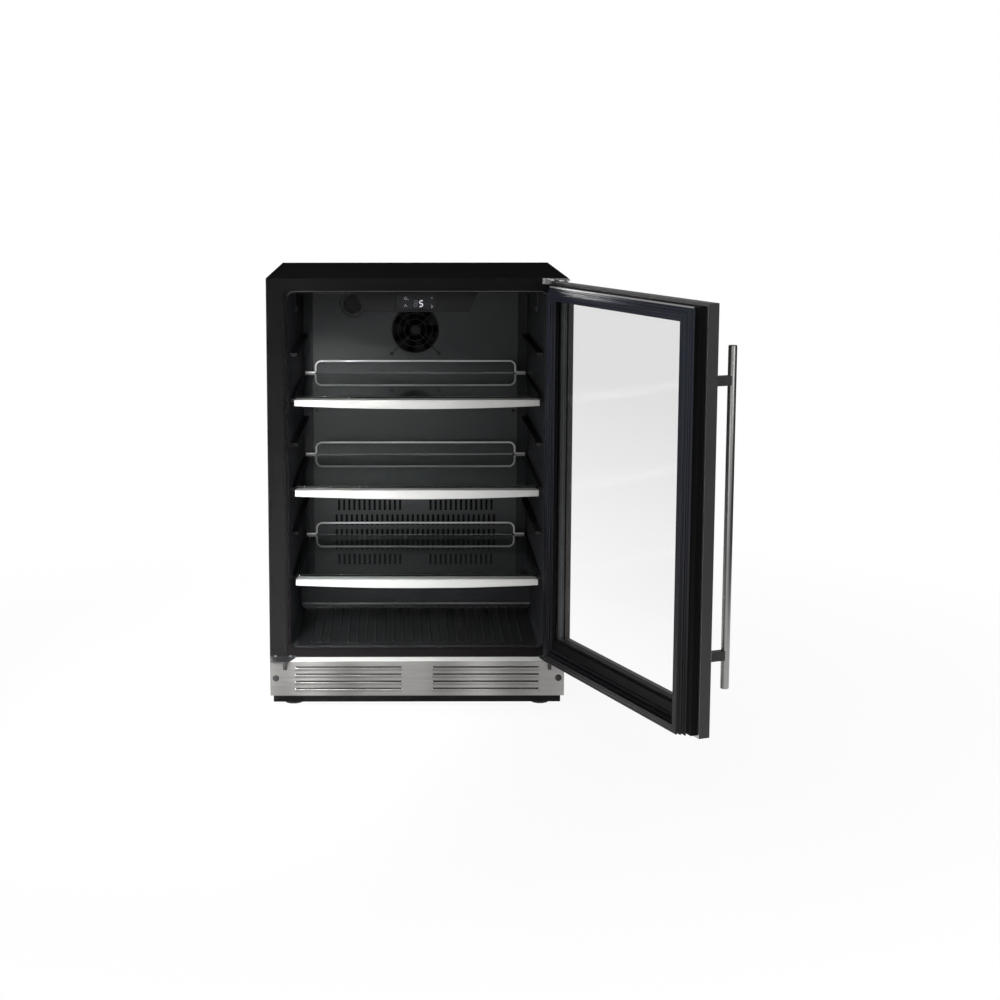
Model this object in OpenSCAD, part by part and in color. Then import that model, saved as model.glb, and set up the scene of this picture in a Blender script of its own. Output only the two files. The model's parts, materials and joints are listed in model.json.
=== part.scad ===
// Upright cabinet refrigerator with a glazed, side-hinged door that stands open.
// Millimetres, +Z up. The origin is on the floor, in the middle of the cabinet's footprint,
// and the door side of the cabinet faces -Y.

/* [Cabinet] */
// Width of the cabinet and of the door
body_w = 595; // [570:1:620]
// Height of the cabinet above the floor
body_h = 875; // [850:1:900]
// Depth of the cabinet without its door
body_d = 545; // [535:1:580]
// Thickness of the outer steel sheet
sheet = 1; // [0.8:0.1:1.5]
// Width of the flange folded in at each side of the front
side_flange = 34; // [30:1:38]
// Height of the flange folded in at the top of the front
top_flange = 24; // [20:1:28]
// Height of the lower edge of the side sheets
skirt_z = 40; // [30:1:60]

/* [Food compartment] */
// Wall thickness of the inner liner
liner_wall = 2.5; // [1.5:0.1:3.5]
// Visible width of the front frame beside the mouth
frame_w = 8; // [6:0.5:10]
// Visible height of the front frame above the mouth
frame_top_w = 5; // [4:0.5:8]
// Depth of the front frame
frame_t = 8; // [6:0.5:12]
// Height of the sill above the kick plate
sill_rise = 18; // [17:0.5:24]
// Corner radius of the mouth
mouth_r = 14; // [6:1:20]
// Thickness of the rear wall, from the liner to the back
rear_wall = 47; // [44:0.5:56]
// How far each side wall leans in towards the back
wall_taper = 5.5; // [2:0.5:8]
// Thickness of the wall between the food and machine compartments
step_wall = 42; // [32:1:50]
// Height of the compressor step above the sill
step_h = 119; // [110:1:124]

/* [Floor panel] */
// Thickness of the floor panel
floor_t = 1.5; // [1:0.1:2.5]
// Number of ribs on the floor panel
rib_count = 24; // [12:1:26]
// Distance from rib to rib
rib_pitch = 18.75; // [14:0.25:19]
// Radius of a rib's round back
rib_r = 2.6; // [1.5:0.1:3.5]
// Distance from the front plane to the tips of the ribs
rib_y = 45; // [30:1:70]
// Height of the raised strip behind the ribs
riser_h = 11; // [8:0.5:14]
// Depth of the raised strip behind the ribs
riser_d = 14; // [10:1:20]

/* [Shelves] */
// Number of glass shelves
shelf_count = 3; // [1:1:3]
// Height of the top shelf above the floor
shelf_top_z = 634; // [625:1:645]
// Height of the lowest shelf above the compressor step
shelf_rise = 21; // [20:0.5:30]
// Gap between a shelf's side and the edge of the mouth
shelf_side = 10.5; // [9.5:0.5:13]
// Distance from the front plane to the shelf's trim
shelf_y = 27; // [24:1:34]
// Gap between a shelf's rear edge and the rear wall
shelf_back = 24; // [18:1:34]
// Thickness of the shelf glass
shelf_glass_t = 4; // [3:0.5:6]
// Height of the shelf trim at its ends
trim_h = 12; // [10:0.5:16]
// How much deeper the trim is in its middle
trim_bow = 6; // [2:0.5:9]
// Depth of the trim's lip in front of the glass and under it
trim_lip = 35; // [28:1:38]
// Thickness of the shelf trim
trim_t = 1.5; // [1:0.1:2.5]
// Diameter of the stop wire at the back of a shelf
wire_d = 4; // [3:0.5:5]
// Height of the stop wire above the shelf
wire_h = 27; // [20:1:40]
// Width of the stop wire's raised run
wire_w = 444; // [400:1:450]
// Radius of the stop wire's upper bends
wire_bend = 13; // [8:1:16]
// How far a shelf slides forward
shelf_travel = 24; // [10:1:24]
// How far a ledge stands out from the side wall
ledge_out = 14; // [12:0.5:16]
// Height of a ledge
ledge_h = 8; // [5:0.5:12]

/* [Air system] */
// Width of the evaporator recess behind the cover
recess_w = 458; // [440:1:470]
// Depth of the evaporator recess
recess_d = 27; // [26.5:0.5:30]
// Thickness of the evaporator cover
cover_t = 2; // [1.5:0.1:3]
// Side of the square fan frames
fan_size = 120; // [110:1:124]
// Depth of the fan frames
fan_t = 25; // [20:0.5:25.5]
// Diameter of the fan duct
fan_bore = 106; // [96:1:108]
// Distance between the fan's mounting holes
fan_pitch = 105; // [98:0.5:107]
// Height of the cabinet's top above the fan's centre
fan_drop = 147; // [140:1:155]
// Number of blades on each fan
blade_count = 7; // [5:1:9]
// Diameter of a fan's hub
hub_d = 38; // [32:1:44]
// Width of an air slot
slot_w = 5; // [3:0.5:6]
// Distance from slot to slot
slot_pitch = 11.5; // [10:0.5:12]
// Height of a tall air slot
slot_h = 25; // [18:1:26]
// Diameter of the filter cap
filter_d = 60.6; // [50:0.2:70]

/* [Controls] */
// Width of the control housing at the ceiling
control_w = 248; // [220:1:270]
// Height of the control housing
control_h = 42.5; // [36:0.5:48]
// How much narrower each side is at the bottom
control_slant = 19.5; // [8:0.5:26]
// Distance from the front plane to the control housing
control_y = 57; // [50:1:70]
// Depth of the control housing
control_d = 93; // [70:1:120]

/* [Base] */
// Height of the levelling feet below the base frame
foot_h = 8; // [6:0.5:12]
// Diameter of a foot's pad
foot_d = 36; // [28:1:44]
// Diameter of a foot's stem
stem_d = 10; // [8:0.5:12]
// Distance of the feet from the sides of the base frame
foot_in = 40; // [34:1:50]
// How far each side of the base frame stands in from the cabinet's side
base_inset = 4.5; // [3:0.5:12]
// Height of the top of the base frame
base_top = 98; // [92:1:100]
// Distance from the front plane to the base frame
base_y = 30; // [20:1:45]
// Height of the kick plate's top
kick_top = 110; // [104:1:114]
// Height of the kick plate's lower edge
kick_z = 39; // [34:1:44]
// How far the kick plate stands forward
kick_y = 33; // [28:1:38]
// Number of louvres in each column of the kick plate
louvre_count = 4; // [2:1:4]
// Distance from louvre to louvre
louvre_pitch = 14.7; // [13:0.1:15]
// Length of a louvre
louvre_l = 215; // [180:1:225]
// Height of a louvre's pressed hood
louvre_h = 8.5; // [6:0.5:10]
// How far a louvre's hood stands out
louvre_out = 3.4; // [2.5:0.1:4.5]

/* [Machinery] */
// Diameter of the compressor shell
compressor_d = 118; // [100:1:124]
// Height of the compressor shell
compressor_h = 140; // [120:1:150]
// Outer diameter of the condenser tube
tube_d = 5; // [4:0.5:6]
// Depth of the machine compartment
machine_d = 153; // [146:1:160]
// Height of the machine compartment's ceiling
machine_z = 204; // [195:1:208]

/* [Door] */
// Angle of the door from closed, as it stands
door_open = 111.5; // [0:0.5:120]
// Gap between the front plane and the door's inner frame
door_gap = 14; // [12:0.5:18]
// Thickness of the door's inner frame
inner_frame_t = 13; // [12:0.5:16]
// Thickness of the door's steel frame
outer_frame_t = 22; // [20:0.5:26]
// Width of the door's frame beside the glass
stile_w = 55.5; // [50:0.5:62]
// Height of the door's frame above the glass
top_rail_h = 32; // [28:0.5:40]
// Height of the door's frame below the glass
bottom_rail_h = 47; // [40:0.5:56]
// Height of the door's lower edge above the kick plate
door_rise = 11; // [10:0.5:13]
// Distance from the cabinet's top down to the door's top
door_drop = 5; // [4.5:0.5:8]
// How far the inner frame is set in from the door's edge
inner_set = 5; // [3:0.5:8]
// Thickness of each pane
pane_t = 4; // [3:0.5:5]
// Gap between the two panes
pane_gap = 12; // [10:0.5:13]
// Depth of the pane's edge behind the frame
pane_edge = 8; // [5:0.5:12]
// Distance of the hinge axis from the door's side
hinge_in = 16.5; // [14:0.5:18]
// Distance of the hinge axis in front of the front plane
hinge_out = 42; // [40:0.5:43]
// Diameter of the hinge pins
pin_d = 7; // [5:0.5:7.5]
// Diameter of the handle bar
handle_d = 15; // [12:0.5:18]
// Length of the handle bar
handle_l = 600; // [400:5:640]
// Distance from the bar's lower end to a post's centre
post_inset = 60; // [40:1:90]
// Height of a handle post
post_h = 17; // [12:0.5:20]
// Distance of the bar's axis in front of the door
handle_out = 47; // [40:1:60]
// Distance of the bar's axis from the door's side
handle_in = 33.5; // [25:0.5:40]
// Height of the bar's lower end
handle_z = 195; // [170:1:230]

/* [Fits] */
// Clearance between pieces that don't touch
gap = 0.3; // [0.2:0.05:0.4]
// Radial clearance of a pin or shaft in its hole
run_fit = 0.05; // [0.02:0.01:0.1]

/* [Hidden] */
$fn = 48;

half_w = body_w / 2;
mouth_x = half_w - side_flange - frame_w;
mouth_top = body_h - top_flange - frame_top_w;
sill_z = kick_top + sill_rise;
step_z = sill_z + step_h;
shelf_pitch = (shelf_top_z - step_z - shelf_rise) / max(shelf_count - 1, 1);
liner_y = frame_t + gap;
inside_x = half_w - sheet - gap;
inside_top = body_h - sheet - gap;
rear_y = body_d - sheet;
liner_d = body_d - rear_wall;
machine_y = body_d - machine_d;
step_y = machine_y - step_wall;
shelf_w = 2 * (mouth_x - shelf_side);
shelf_rear_y = liner_d - shelf_back;
shelf_glass_y = shelf_y + trim_lip - 10;
lip_cut = 4;
wire_y = shelf_rear_y - wire_d / 2 - 3;
base_w = body_w - 2 * base_inset;
plate_y = liner_d - cover_t;
recess_z0 = step_z + 3;
recess_z1 = mouth_top - 6;
cover_z0 = recess_z0 - 2;
cover_screw_z = cover_z0 + 298;
top_screw_z = body_h - 83;
filter_x = -139;
filter_z = body_h - 89;
fan_z = body_h - fan_drop;
coil_y = liner_d + recess_d / 2;
coil_z0 = recess_z0 + 130;
coil_step = 30;
coil_run = recess_w - 80;
coil_runs = floor((fan_z - fan_size / 2 - 68 - coil_z0) / coil_step) + 1;
lamp_y = 215;
lamp_z = mouth_top - 48;
lamp_d = 16;
ledge_pitch = shelf_pitch / 2;
ledge_y0 = shelf_y + trim_lip + 2 * gap;
ledge_y1 = shelf_rear_y - 4;
ledge_z0 = shelf_top_z - shelf_pitch * (shelf_count - 1) - shelf_glass_t - gap - ledge_h;
ledge_count = floor((lamp_z - lamp_d / 2 - gap - ledge_h - ledge_z0) / ledge_pitch) + 1;
door_z0 = kick_top + door_rise;
door_z1 = body_h - door_drop;
glass_x = half_w - stile_w;
glass_z0 = door_z0 + bottom_rail_h;
glass_z1 = door_z1 - top_rail_h;
inner_y = -door_gap;
outer_y = inner_y - inner_frame_t;
face_y = outer_y - outer_frame_t;
pane_in_y = inner_y - 4;
pane_out_y = pane_in_y - pane_t - pane_gap;
hinge_x = half_w - hinge_in;
hinge_y = -hinge_out;
bracket_t = 3;
bracket_z = kick_top + gap;
bracket_top = bracket_z + bracket_t;
arm_z = door_z1 + 1.5;
bush_r = 5.5;
bush_l = 20;
tray_t = 2;
lip_d = 14;
lip_h = 6;
floor_z = foot_h + tray_t;
boss_r = stem_d / 2 + 7;
boss_in = foot_in + boss_r;
machine_mid_y = (machine_y + rear_y) / 2;
compressor_plate_w = compressor_d + 70;
compressor_x = base_w / 2 - boss_in - 7 - compressor_plate_w / 2;
condenser_layers = 5;
condenser_pitch = 23;
condenser_step = 24;
condenser_w = (condenser_layers - 1) * condenser_pitch;
condenser_end = 14;
condenser_h = 110;
condenser_z = floor_z + 12;
condenser_x = -base_w / 2 + boss_in + 2 + condenser_end;
machine_fan_x = condenser_x + condenser_w + condenser_end + 24 + fan_t;

// Half the width between the side walls at a depth y
function wall_x(y) = mouth_x - wall_taper * y / liner_d;

// Height of the top of shelf n, counted from the top
function shelf_z(n) = shelf_top_z - shelf_pitch * (n - 1);

// Height of the underside of shelf n's glass
function glass_under(n) = shelf_z(n) - shelf_glass_t;

// Places the cabinet with its footprint centred on the origin
module on_floor() translate([0, -body_d / 2, 0]) children();

// Places a door piece, drawn closed, at the angle at which the door stands
module on_door() on_floor()
    translate([hinge_x, hinge_y, 0])
        rotate(door_open)
            translate([-hinge_x, -hinge_y, 0]) children();

// A box from its lowest to its highest corner
module slab(x0, x1, y0, y1, z0, z1) translate([x0, y0, z0]) cube([x1 - x0, y1 - y0, z1 - z0]);

// Extrudes an outline drawn in X and Z along Y
module along_y(y0, y1) translate([0, y1, 0]) rotate([90, 0, 0]) linear_extrude(y1 - y0) children();

// Extrudes an outline drawn in Y and Z along X
module along_x(x0, x1) translate([x0, 0, 0]) rotate([90, 0, 90]) linear_extrude(x1 - x0) children();

// A copy on each side of the cabinet's middle plane
module both_sides() {
    children();
    mirror([1, 0, 0]) children();
}

// A rectangle with round corners, given by two corners
module round_rect(x0, x1, z0, z1, r) {
    translate([x0 + r, z0]) square([x1 - x0 - 2 * r, z1 - z0]);
    translate([x0, z0 + r]) square([x1 - x0, z1 - z0 - 2 * r]);
    for (x = [x0 + r, x1 - r])
        for (z = [z0 + r, z1 - r])
            translate([x, z]) circle(r);
}

// The mouth's outline, grown by g on every side
module mouth(g = 0) round_rect(-mouth_x - g, mouth_x + g, sill_z - g, mouth_top + g, mouth_r + g);

// A round-headed screw along Y with its head at the front and a cross recess
module screw_y(d, h) rotate([90, 0, 0]) difference() {
    union() {
        cylinder(d = d, h = h * 0.5);
        translate([0, 0, h * 0.5]) cylinder(d1 = d, d2 = d * 0.7, h = h * 0.5);
    }
    for (a = [0, 90])
        rotate(a) translate([-d * 0.3, -d * 0.06, h * 0.6]) cube([d * 0.6, d * 0.12, h]);
}

/* ---------- cabinet ---------- */

// Side and top sheets with the flanges folded in round the front
module cabinet_shell() color("#1c1c1d") on_floor() difference() {
    slab(-half_w, half_w, 0, body_d, skirt_z, body_h);
    slab(-half_w + sheet, half_w - sheet, sheet, body_d + 1, skirt_z - 1, body_h - sheet);
    slab(-half_w + side_flange, half_w - side_flange, -1, sheet + 1, skirt_z - 1, body_h - top_flange);
}

// Flat sheet that closes the back above the machine compartment
module rear_panel() color("#26262a") on_floor()
    slab(-inside_x, inside_x, rear_y, body_d, machine_z + gap, inside_top);

// The food compartment's space, grown by g
module compartment(g, y0) intersection() {
    along_y(y0, liner_d + g) mouth(g);
    linear_extrude(body_h) polygon([
        [-wall_x(0) - g, y0], [wall_x(0) + g, y0],
        [wall_x(liner_d) + g, liner_d + g], [-wall_x(liner_d) - g, liner_d + g]
    ]);
    along_x(-half_w, half_w) polygon([
        [y0, sill_z - g], [step_y + g, sill_z - g], [step_y + g, step_z - g],
        [liner_d + g, step_z - g], [liner_d + g, mouth_top + g], [y0, mouth_top + g]
    ]);
}

// The recess for the evaporator behind the rear wall, grown by g
module recess(g) slab(-recess_w / 2 - g, recess_w / 2 + g, liner_d - 1, liner_d + recess_d + g,
    recess_z0 - g, recess_z1 + g);

// Foam between the sheets and the liner, stepped up over the machine compartment
module insulation() color("#d9c98f") on_floor() difference() {
    along_x(-inside_x, inside_x) polygon([
        [liner_y, base_top + gap], [machine_y, base_top + gap], [machine_y, machine_z + gap],
        [rear_y - gap, machine_z + gap], [rear_y - gap, inside_top], [liner_y, inside_top]
    ]);
    compartment(liner_wall + gap, 0);
    recess(liner_wall + gap);
}

// Moulded tub of the food compartment with its compressor step and evaporator recess
module inner_liner() color("#3a3c3d") on_floor() difference() {
    union() {
        compartment(liner_wall, liner_y);
        recess(liner_wall);
    }
    compartment(0, 0);
    recess(0);
}

// Plastic frame between the flanges and the liner, with a groove round the mouth
module front_frame() color("#2b2224") on_floor() difference() {
    slab(-half_w + side_flange + gap, half_w - side_flange - gap, 0, frame_t,
        base_top + gap, body_h - top_flange - gap);
    along_y(-1, frame_t + 1) mouth();
    along_y(-1, 0.8) difference() {
        mouth(frame_top_w * 0.7);
        mouth(frame_top_w * 0.4);
    }
}

// Ribbed floor panel with a notched strip at its rear
module liner_floor() color("#333536") on_floor() intersection() {
    edge = wall_x(step_y) - 1;
    along_y(0, step_y) round_rect(-edge, edge, sill_z + gap, mouth_top, mouth_r);
    floor_ribs(edge);
}

// The floor panel's plate, ribs and notched strip, before its lower edges are rounded off
module floor_ribs(edge) {
    strip_y = step_y - gap - riser_d;
    rib_x0 = -(rib_count - 1) / 2 * rib_pitch;
    slab(-edge, edge, liner_y + 4, step_y - gap, sill_z + gap, sill_z + gap + floor_t);
    for (i = [0:rib_count - 1])
        translate([rib_x0 + i * rib_pitch, rib_y, sill_z + gap + floor_t]) {
            rotate([-90, 0, 0]) cylinder(r = rib_r, h = strip_y - rib_y, $fn = 24);
            sphere(rib_r, $fn = 24);
        }
    difference() {
        slab(-edge, edge, strip_y, step_y - gap, sill_z + gap, sill_z + gap + riser_h);
        for (i = [0:rib_count - 2])
            translate([rib_x0 + (i + 0.5) * rib_pitch, 0, 0])
                slab(-rib_r, rib_r, strip_y - 1, strip_y + 3,
                    sill_z + gap + floor_t + 1, sill_z + riser_h - 2);
    }
}

// Ledges on both side walls that carry the shelves
module shelf_ledges() color("#3d4041") on_floor() {
    corner = 5;
    both_sides()
        for (i = [0:ledge_count - 1])
            translate([0, 0, ledge_z0 + i * ledge_pitch])
                linear_extrude(ledge_h) polygon([
                    [wall_x(ledge_y0), ledge_y0],
                    [wall_x(ledge_y1), ledge_y1],
                    [wall_x(ledge_y1) - ledge_out, ledge_y1 - corner],
                    [wall_x(ledge_y0) - ledge_out, ledge_y0 + corner]
                ]);
}

/* ---------- air system ---------- */

// A row of upright slots on one side, n of them from x0 outwards
module slot_row(x0, n, z1) for (i = [0:n - 1])
    translate([x0 + i * slot_pitch - slot_w / 2, z1 - slot_h]) square([slot_w, slot_h]);

// Flat cover of the evaporator, with the fan's duct, the air slots and the filter's hole
module evaporator_cover() color("#36383a") on_floor() difference() {
    slab(-recess_w / 2 - 2, recess_w / 2 + 2, plate_y, liner_d, cover_z0, mouth_top - gap);
    translate([0, plate_y - 1, fan_z]) rotate([-90, 0, 0]) cylinder(d = fan_bore, h = cover_t + 2);
    translate([filter_x, plate_y - 1, filter_z]) rotate([-90, 0, 0])
        cylinder(d = filter_d - 6, h = cover_t + 2);
    along_y(plate_y - 1, liner_d + 1) both_sides() {
        slot_row(slot_pitch * 3, 13, cover_z0 + 95);
        slot_row(slot_pitch / 2, 16, cover_z0 + 61);
        slot_row(slot_pitch / 2, 16, cover_z0 + 27);
    }
    slab(-18, 18, plate_y - 1, plate_y + cover_t * 0.4, cover_z0 + 76, cover_z0 + 85);
}

// Square frame of a fan along Y, with its motor plate on four struts and the rotor's shaft
module fan_frame() {
    difference() {
        along_y(0, fan_t) round_rect(-fan_size / 2, fan_size / 2, -fan_size / 2, fan_size / 2, 6);
        rotate([-90, 0, 0]) translate([0, 0, -1]) cylinder(d = fan_bore, h = fan_t + 2);
        for (x = [-1, 1])
            for (z = [-1, 1])
                translate([x * fan_pitch / 2, -1, z * fan_pitch / 2])
                    rotate([-90, 0, 0]) cylinder(d = 4.5, h = fan_t + 2);
    }
    for (a = [0:90:270])
        rotate([0, a + 20, 0]) slab(hub_d / 2 - 2, fan_bore / 2 + 1, fan_t - 2.8, fan_t - 0.3, -2, 2);
    rotate([-90, 0, 0]) translate([0, 0, fan_t - 3]) cylinder(d = hub_d, h = 3);
    rotate([-90, 0, 0]) translate([0, 0, 6]) cylinder(d = 4, h = fan_t - 7);
}

// Hub with a ring of curved, pitched blades, turning on the frame's shaft
module fan_rotor() {
    tip = fan_bore / 2 - 2.5;
    intersection() {
        rotate([-90, 0, 0]) translate([0, 0, 3]) cylinder(r = tip, h = fan_t - 8);
        for (i = [0:blade_count - 1])
            rotate([0, i * 360 / blade_count, 0])
                translate([0, fan_t / 2 - 1, 0]) rotate([38, 0, 0])
                    linear_extrude(1.6, center = true) difference() {
                        translate([hub_d / 2 - 2, -15]) square([tip, 30]);
                        translate([hub_d / 2 + 14, 38]) circle(r = 28);
                    }
    }
    difference() {
        rotate([-90, 0, 0]) translate([0, 0, 3]) cylinder(d = hub_d, h = fan_t - 8);
        rotate([-90, 0, 0]) translate([0, 0, 5.5]) cylinder(r = 2 + run_fit, h = fan_t);
    }
}

// Finger guard of round wires on four arms that end in ears over the fan's screws
module fan_guard() color("#161617") on_floor() translate([0, plate_y - 3.5, fan_z])
    rotate([90, 0, 0]) {
        rings = 4;
        for (i = [1:rings])
            rotate_extrude() translate([fan_bore / 2 * (i - 0.15) / rings, 0]) circle(d = 2.2, $fn = 16);
        for (a = [45:90:315])
            rotate(a) {
                translate([4, 0, -2]) rotate([0, 90, 0])
                    cylinder(d = 2.4, h = fan_pitch / sqrt(2) - 6, $fn = 16);
                translate([fan_pitch / sqrt(2), 0, -3.5]) cylinder(d = 9, h = 3.6);
            }
        translate([0, 0, -3]) cylinder(d = 18, h = 3);
    }

// Round filter cap with a grid behind its rim
module filter_cap() color("#4a4c4e") on_floor() translate([filter_x, plate_y, filter_z])
    rotate([90, 0, 0]) {
        rim = filter_d / 2;
        rotate_extrude() polygon([
            [rim * 0.6, -cover_t], [rim - 3 - gap, -cover_t], [rim - 3 - gap, 0],
            [rim, 0], [rim - 1, 2.6], [rim * 0.72, 3], [rim * 0.6, 1.2]
        ]);
        intersection() {
            translate([0, 0, -cover_t]) cylinder(r = rim * 0.61, h = 1.2);
            for (i = [-3:3]) {
                translate([i * 5, 0, -cover_t + 0.6]) cube([1.2, filter_d, 1.2], center = true);
                translate([0, i * 5, -cover_t + 0.6]) cube([filter_d, 1.2, 1.2], center = true);
            }
        }
    }

// Serpentine tube in a plane: n straight runs along X, a step apart in Z, joined by half turns
module serpentine(n, run, step, d) {
    for (i = [0:n - 1])
        translate([-run / 2, 0, i * step]) rotate([0, 90, 0]) cylinder(d = d, h = run, $fn = 16);
    for (i = [0:n - 2])
        translate([(i % 2 == 0 ? 1 : -1) * run / 2, 0, (i + 0.5) * step])
            rotate([90, i % 2 == 0 ? -90 : 90, 0])
                rotate_extrude(angle = 180) translate([step / 2, 0]) circle(d = d, $fn = 16);
}

// Finned evaporator coil in the recess
module evaporator_coil() color("silver") on_floor() {
    translate([0, coil_y, coil_z0]) serpentine(coil_runs, coil_run, coil_step, 8);
    fin_t = 0.8;
    fin_pitch = 20;
    fins = floor(coil_run / 2 / fin_pitch) - 1;
    for (i = [-fins:fins])
        slab(i * fin_pitch - fin_t / 2, i * fin_pitch + fin_t / 2, liner_d + gap, liner_d + recess_d,
            coil_z0 - 10, coil_z0 + (coil_runs - 1) * coil_step + 10);
}

module evaporator_fan_frame() color("#1b1b1c") on_floor()
    translate([0, liner_d + gap, fan_z]) fan_frame();

module evaporator_fan_rotor() color("#202021") on_floor()
    translate([0, liner_d + gap, fan_z]) fan_rotor();

// Screws that hold the evaporator cover
module panel_screws() color("#8a8c8e") on_floor()
    for (p = [[-1, top_screw_z], [-1, cover_screw_z], [1, cover_screw_z]])
        translate([p[0] * (recess_w / 2 - 9), plate_y, p[1]]) screw_y(8, 2);

/* ---------- controls ---------- */

// Housing of the controls under the ceiling, narrower at the bottom
module control_housing() color("#2a2c2d") on_floor() difference() {
    along_y(control_y, control_y + control_d) polygon([
        [-control_w / 2, mouth_top - gap], [control_w / 2, mouth_top - gap],
        [control_w / 2 - control_slant, mouth_top - control_h],
        [-control_w / 2 + control_slant, mouth_top - control_h]
    ]);
    slab(-40 - gap, 40 + gap, control_y - 1, control_y + 1.5,
        mouth_top - control_h + 5 - gap, mouth_top - 6 + gap);
}

// Dark window over the display and its touch keys
module display_panel() color("#101112") on_floor()
    slab(-40, 40, control_y, control_y + 1.5 - gap, mouth_top - control_h + 5, mouth_top - 6);

// Lamp knobs high on both side walls, each with the strip that hides its lead
module side_lights() color("#b9bcbe") on_floor() both_sides() {
    x = wall_x(lamp_y) - gap;
    slab(x - 1.5, x, lamp_y - 7, lamp_y + 7, lamp_z, mouth_top - 12);
    translate([x, lamp_y, lamp_z]) rotate([0, -90, 0]) {
        cylinder(d = lamp_d, h = 3);
        translate([0, 0, 3]) cylinder(d1 = lamp_d, d2 = lamp_d - 6, h = 3);
    }
}

/* ---------- base ---------- */

// Where the feet stand
function foot_x() = base_w / 2 - foot_in;
foot_front_y = base_y + 32;
foot_rear_y = body_d - 35;

// Steel tray that carries the cabinet and the machinery
module base_frame() color("#151516") on_floor() difference() {
    union() {
        difference() {
            slab(-base_w / 2, base_w / 2, base_y, rear_y - gap, foot_h, base_top);
            slab(-base_w / 2 + tray_t, base_w / 2 - tray_t, base_y + tray_t, body_d,
                floor_z, base_top + 1);
        }
        slab(-base_w / 2, base_w / 2, rear_y - lip_d, rear_y - gap, foot_h, floor_z + lip_h);
        foot_places() cylinder(r = boss_r, h = 28);
    }
    foot_places() translate([0, 0, -1]) cylinder(r = stem_d / 2 + run_fit, h = 30);
}

// One child at each foot, on the underside of the base frame
module foot_places()
    for (x = [-foot_x(), foot_x()])
        for (y = [foot_front_y, foot_rear_y])
            translate([x, y, foot_h]) children();

// Levelling foot: ribbed pad, hexagon and stem
module foot(x, y) color("#2c2c2d") on_floor() translate([x, y, 0]) difference() {
    union() {
        cylinder(d = foot_d, h = 3);
        translate([0, 0, 3]) cylinder(d1 = foot_d, d2 = stem_d * 2, h = foot_h - gap - 3);
        cylinder(d = stem_d, h = foot_h + 26);
    }
    for (a = [0:30:330])
        rotate(a) translate([foot_d / 2, 0, -1]) cylinder(d = 2.4, h = foot_h, $fn = 16);
}
module foot_fl() foot(-foot_x(), foot_front_y);
module foot_fr() foot(foot_x(), foot_front_y);
module foot_rl() foot(-foot_x(), foot_rear_y);
module foot_rr() foot(foot_x(), foot_rear_y);

// Sheet kick plate with a top flange, side returns and pressed louvres
module kick_plate() color("#aaa7a3") on_floor() {
    t = 1.2;
    w = half_w - 2.5;
    x0 = 30;
    x1 = x0 + louvre_l;
    difference() {
        union() {
            slab(-w, w, -kick_y, -gap, kick_z, kick_top);
            both_sides() louvres() along_x(x0, x1) polygon([
                [t / 2, -louvre_h], [0, -louvre_h], [-louvre_out * 0.75, -louvre_h * 0.6],
                [-louvre_out, -louvre_h * 0.3], [-louvre_out * 0.85, -2], [t / 2, -2]
            ]);
        }
        slab(-w + t, w - t, -kick_y + t, 1, kick_z - 1, kick_top - t);
        both_sides() louvres() along_x(x0 + t, x1 - t) polygon([
            [t + 1, -louvre_h + t], [0, -louvre_h + t], [t - louvre_out * 0.75, -louvre_h * 0.6 + 0.5],
            [t - louvre_out, -louvre_h * 0.3], [t - louvre_out, -1], [-0.5, -1], [-0.5, 0], [t + 1, 0]
        ]);
        both_sides() translate([half_w - 14, -kick_y - 1, (kick_top + kick_z) / 2 + 1])
            rotate([-90, 0, 0]) cylinder(d = 6, h = t + 2);
    }
}

// One child at the opening of each louvre in a column
module louvres() for (i = [0:louvre_count - 1])
    translate([0, -kick_y, kick_top - 10.8 - i * louvre_pitch]) children();

module kick_screws() color("#8f8d8a") on_floor() both_sides()
    translate([half_w - 14, -kick_y, (kick_top + kick_z) / 2 + 1]) screw_y(13, 3.4);

/* ---------- hinges ---------- */

// Outline of a lower bracket, on the right side, with the hooked arm's hollow edge
module lower_bracket_outline() difference() {
    union() {
        polygon([
            [half_w - 51.5, -gap], [half_w - 3, -gap], [half_w - 3, hinge_y],
            [hinge_x - 6, hinge_y - 9], [hinge_x - 22, hinge_y - 7], [half_w - 51.5, -10]
        ]);
        translate([hinge_x, hinge_y]) circle(9.5);
    }
    translate([hinge_x - 44, hinge_y - 4]) circle(19);
}

// Bracket under the door, with the lower hinge pin and the door stop's stud
module lower_hinge_bracket() color("#3b3c3e") on_floor() {
    translate([0, 0, bracket_z]) linear_extrude(bracket_t) lower_bracket_outline();
    translate([hinge_x, hinge_y, bracket_z]) cylinder(d = pin_d, h = 26);
    translate([hinge_x - 16, hinge_y - 1, bracket_z - 15]) cylinder(d = pin_d, h = 16);
}

// The same bracket on the other side, which serves when the door is hung there
module spare_hinge_bracket() color("#3b3c3e") on_floor() mirror([1, 0, 0]) {
    translate([0, 0, bracket_z]) linear_extrude(bracket_t) lower_bracket_outline();
    translate([hinge_x - 16, hinge_y - 1, bracket_z - 15]) cylinder(d = pin_d, h = 16);
}

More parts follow.
